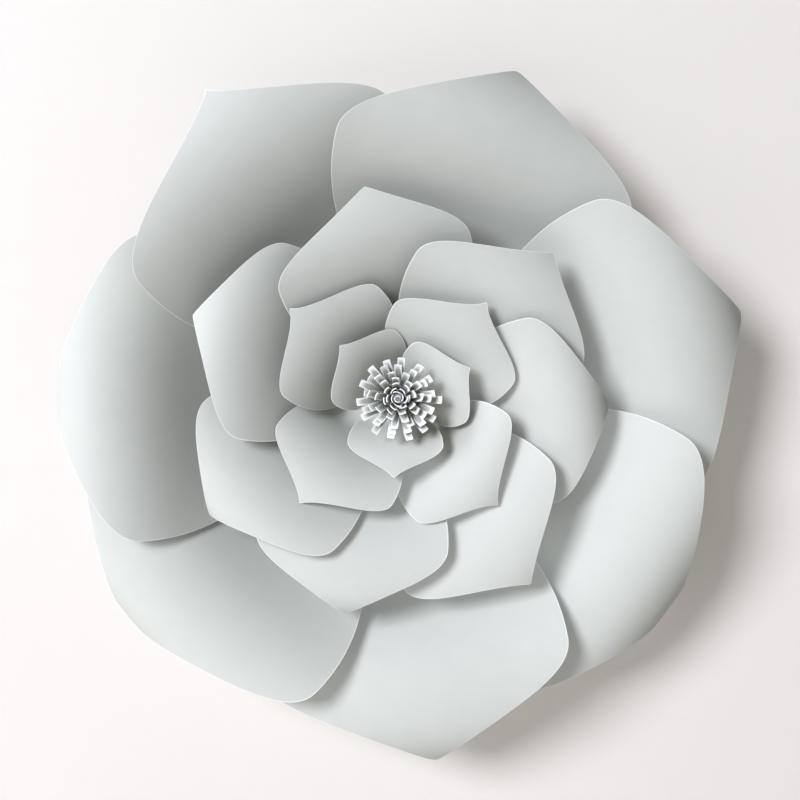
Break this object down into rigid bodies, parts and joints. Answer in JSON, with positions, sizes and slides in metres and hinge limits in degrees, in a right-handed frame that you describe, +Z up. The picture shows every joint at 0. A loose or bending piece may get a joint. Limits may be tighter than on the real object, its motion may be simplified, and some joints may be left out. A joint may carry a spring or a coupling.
{
  "type": "giant paper flower",
  "caption": "Large wall-hung paper flower: overlapping rings of cupped card petals with curled pointed tips around a rolled, fringed centre, on a round backing disc.",
  "frame": {"origin": "centre of the backing disc's rear face, on the wall plane", "axes": "+Z up the wall, +X to the viewer's right, +Y into the wall, so the flower faces -Y"},
  "size_m": [0.4034, 0.0886, 0.4066],
  "materials": {
    "petal_card": "matt uncoated card, light cool grey with a faint green cast",
    "fringe_card": "matt uncoated card, cut in narrow strips with pale edges",
    "backing_card": "matt thick card"
  },
  "bodies": {
    "root": {"backing_disc": "backing_card", "outer_petal_1": "petal_card", "outer_petal_2": "petal_card", "outer_petal_3": "petal_card", "outer_petal_4": "petal_card", "outer_petal_5": "petal_card", "outer_petal_6": "petal_card", "outer_petal_7": "petal_card", "second_petal_1": "petal_card", "second_petal_2": "petal_card", "second_petal_3": "petal_card", "second_petal_4": "petal_card", "second_petal_5": "petal_card", "second_petal_6": "petal_card", "second_petal_7": "petal_card", "third_petal_1": "petal_card", "third_petal_2": "petal_card", "third_petal_3": "petal_card", "third_petal_4": "petal_card", "inner_petal_1": "petal_card", "inner_petal_2": "petal_card", "inner_petal_3": "petal_card", "fringed_roll": "fringe_card"}
  },
  "joints": []
}
